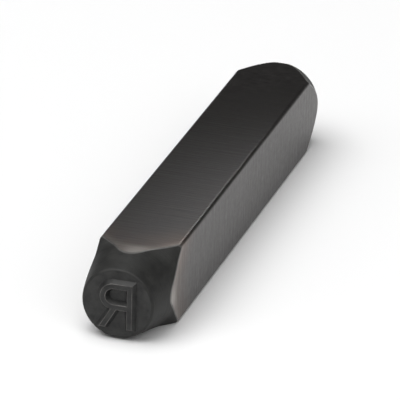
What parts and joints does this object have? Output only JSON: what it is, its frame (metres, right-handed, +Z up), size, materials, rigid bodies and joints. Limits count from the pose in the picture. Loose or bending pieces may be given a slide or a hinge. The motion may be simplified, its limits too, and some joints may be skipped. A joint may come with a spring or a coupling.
{
  "type": "steel letter punch",
  "caption": "Square steel hand punch with a turned nose that carries a raised mirror-image letter, struck on its plain end to mark the letter in metal.",
  "frame": {"origin": "centre of the resting flat of the shank, at half the punch's length and width", "axes": "+Y along the punch from the letter towards the striking face, +X across the shank, +Z up out of the resting flat; the letter's top points to +Z"},
  "size_m": [0.0094, 0.0636, 0.0095],
  "materials": {
    "black_oxide_steel": "satin black oxide over hardened tool steel, fine grinding lines on the flats, darker turned nose"
  },
  "bodies": {
    "root": {"letter_punch": "black_oxide_steel"}
  },
  "joints": []
}
